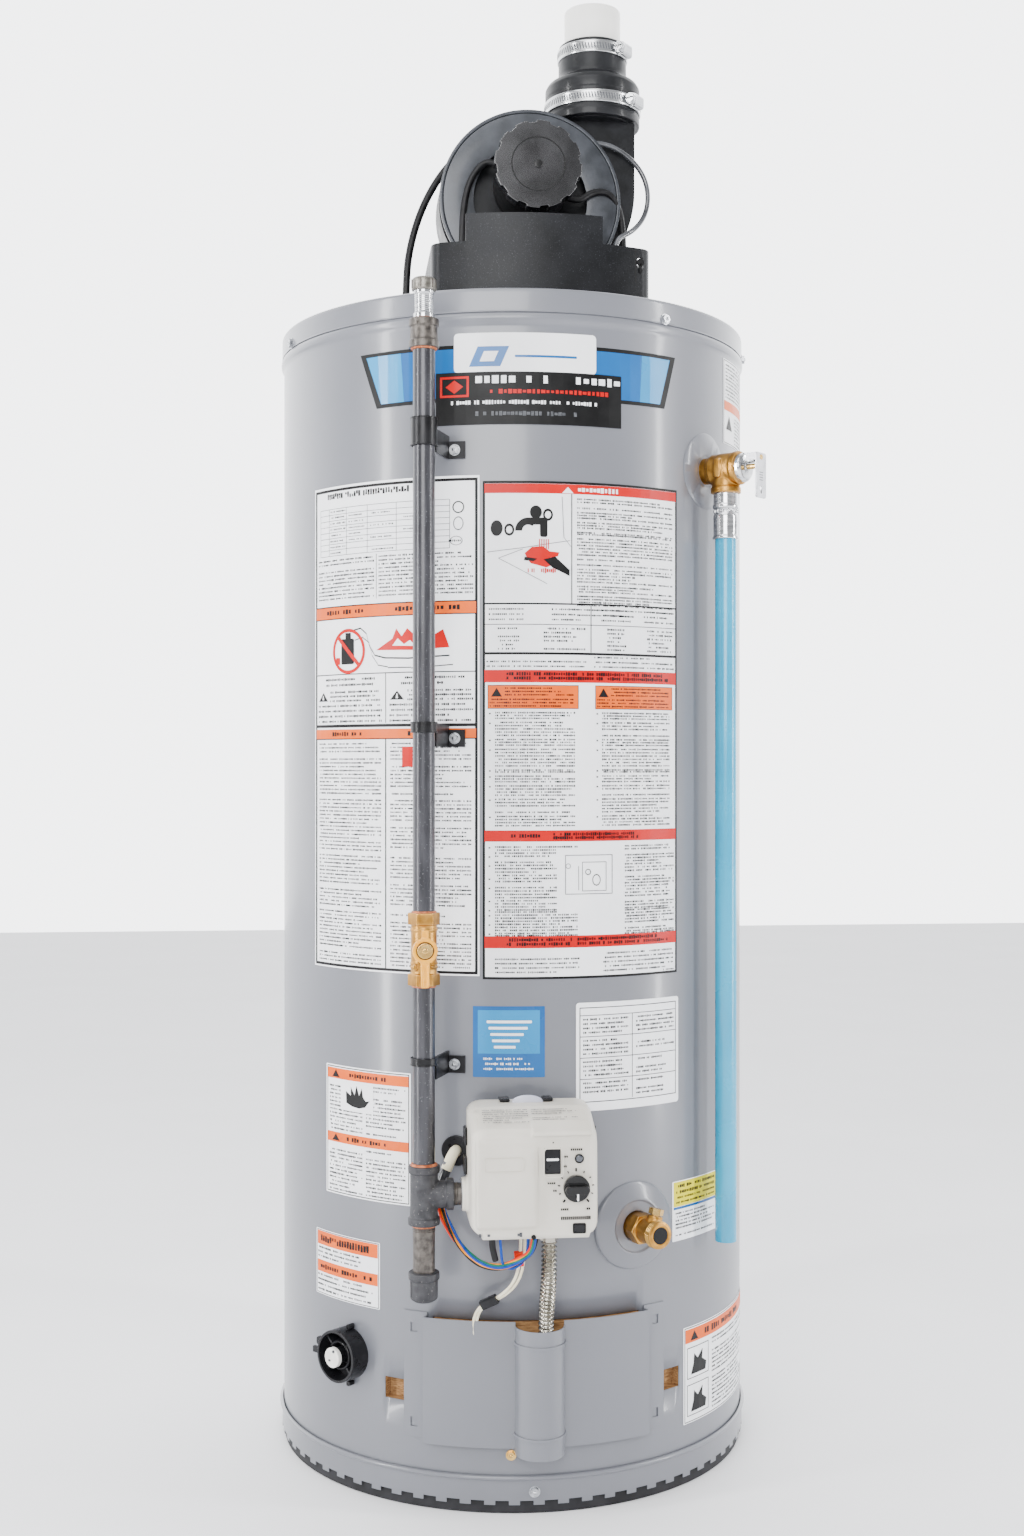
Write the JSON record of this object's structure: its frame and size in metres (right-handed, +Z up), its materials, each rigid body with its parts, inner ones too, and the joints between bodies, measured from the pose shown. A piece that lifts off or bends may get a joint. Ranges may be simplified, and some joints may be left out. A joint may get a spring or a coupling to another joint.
{
  "type": "tank water heater",
  "caption": "Upright gas tank water heater with a power-vent blower, gas control, gas pipe with shut-off valve, relief and drain valves and a pull-off burner door.",
  "frame": {"origin": "floor point on the tank's centre line", "axes": "+Z up, -Y towards the front with the gas control and burner door, +X to the viewer's right"},
  "size_m": [0.5168, 0.6172, 1.548],
  "materials": {
    "jacket_paint": "satin light grey",
    "base_dark": "matte black",
    "zinc": "zinc plated",
    "stainless": "bright stainless",
    "tank_steel": "dark enamel",
    "sheet_steel": "mill finish",
    "galvanised": "galvanised",
    "foam": "rigid tan foam",
    "dip_plastic": "translucent plastic",
    "anode_metal": "cast",
    "igniter_ceramic": "white",
    "black_pipe": "dark lacquered steel",
    "black_fitting": "dark malleable iron",
    "flare_steel": "plated steel",
    "valve_brass": "satin brass",
    "ball_chrome": "polished",
    "handle_yellow": "dipped yellow",
    "pipe_blue": "blue plastic pipe",
    "adapter_steel": "bright crimped sleeve",
    "control_plastic": "off-white moulded plastic",
    "control_metal": "die cast",
    "black_plastic": "black moulded plastic",
    "flex_coated": "corrugated",
    "cable_black": "black",
    "tube_grey": "dark grey",
    "sensor_cup": "black",
    "sensor_white": "white",
    "hood_black": "charcoal",
    "blower_grey": "grey",
    "motor_grey": "dark grey",
    "motor_cap_black": "glossy black",
    "rotor_steel": "machined",
    "coupling_rubber": "black rubber",
    "vent_white": "white pipe"
  },
  "bodies": {
    "root": {"jacket": "jacket_paint", "jacket_lid": "jacket_paint", "base_ring": "jacket_paint", "valve_escutcheons": "jacket_paint", "base_pan": "base_dark", "jacket_screws": "zinc", "pipe_clamps": "zinc", "coupling_clamps": "stainless", "control_clips": "stainless", "tank_shell": "tank_steel", "flue_tube": "tank_steel", "flue_baffle": "sheet_steel", "burner": "sheet_steel", "burner_manifold": "sheet_steel", "inner_door": "sheet_steel", "water_nipples": "galvanised", "insulation": "foam", "dip_tube": "dip_plastic", "anode_rod": "anode_metal", "igniter": "igniter_ceramic", "riser_pipe": "black_pipe", "lower_pipe": "black_pipe", "gas_nipples": "black_pipe", "drip_cap": "black_pipe", "gas_tee": "black_fitting", "riser_coupling": "black_fitting", "gas_inlet_fitting": "flare_steel", "gas_valve_body": "valve_brass", "relief_valve_body": "valve_brass", "relief_bonnet": "valve_brass", "drain_valve_body": "valve_brass", "thermowell_probe": "ball_chrome", "discharge_pipe": "pipe_blue", "discharge_adapter": "adapter_steel", "gas_control_cover": "control_plastic", "gas_control_body": "control_metal", "pressure_switch": "black_plastic", "harness_plug": "black_plastic", "wiring_grommets": "black_plastic", "flex_gas_tube": "flex_coated", "control_wiring": "cable_black", "blower_wiring": "cable_black", "sensing_tube": "tube_grey", "vapor_sensor_holder": "sensor_cup", "vapor_sensor": "sensor_white", "vent_hood": "hood_black", "blower_housing": "blower_grey", "motor_can": "motor_grey", "motor_cap": "motor_cap_black", "vent_coupling": "coupling_rubber", "vent_stub": "vent_white"},
    "gas_handle": {"gas_valve_handle": "handle_yellow", "gas_valve_ball": "ball_chrome"},
    "knob": {"temperature_knob": "black_plastic"},
    "rocker": {"rocker_switch": "black_plastic"},
    "test_lever": {"relief_lever": "stainless"},
    "drain_stem": {"drain_valve_stem": "valve_brass"},
    "fan": {"impeller": "rotor_steel", "motor_rotor": "rotor_steel"},
    "burner_door": {"outer_door": "jacket_paint"}
  },
  "joints": [
    {"name": "gas_valve_turn", "type": "hinge", "parent": "root", "child": "gas_handle", "pos_m": [-0.1147, -0.2815, 0.559], "axis": [0, -1, 0], "range_deg": [0, 90]},
    {"name": "knob_turn", "type": "hinge", "parent": "root", "child": "knob", "pos_m": [0.024, -0.345, 0.341], "axis": [0, -1, 0], "range_deg": [0, 270]},
    {"name": "rocker_tilt", "type": "hinge", "parent": "root", "child": "rocker", "pos_m": [0.002, -0.3438, 0.366], "axis": [1, 0, 0], "range_deg": [0, 12]},
    {"name": "relief_lift", "type": "hinge", "parent": "root", "child": "test_lever", "pos_m": [0.22449, -0.21378, 1.049], "axis": [-0.6896, -0.7242, 0], "range_deg": [0, 80], "stiffness_Nm_per_rad": 0.2},
    {"name": "drain_turn", "type": "hinge", "parent": "root", "child": "drain_stem", "pos_m": [0.11029, -0.26496, 0.276], "axis": [0.2389, 0.0995, 0.9659], "range_deg": [0, 90]},
    {"name": "fan_spin", "type": "hinge", "parent": "root", "child": "fan", "pos_m": [0.007, -0.1, 1.348], "axis": [0, -1, 0], "continuous": true},
    {"name": "door_pull", "type": "slide", "parent": "root", "child": "burner_door", "axis": [0, -1, 0], "range_m": [0, 0.06]}
  ]
}
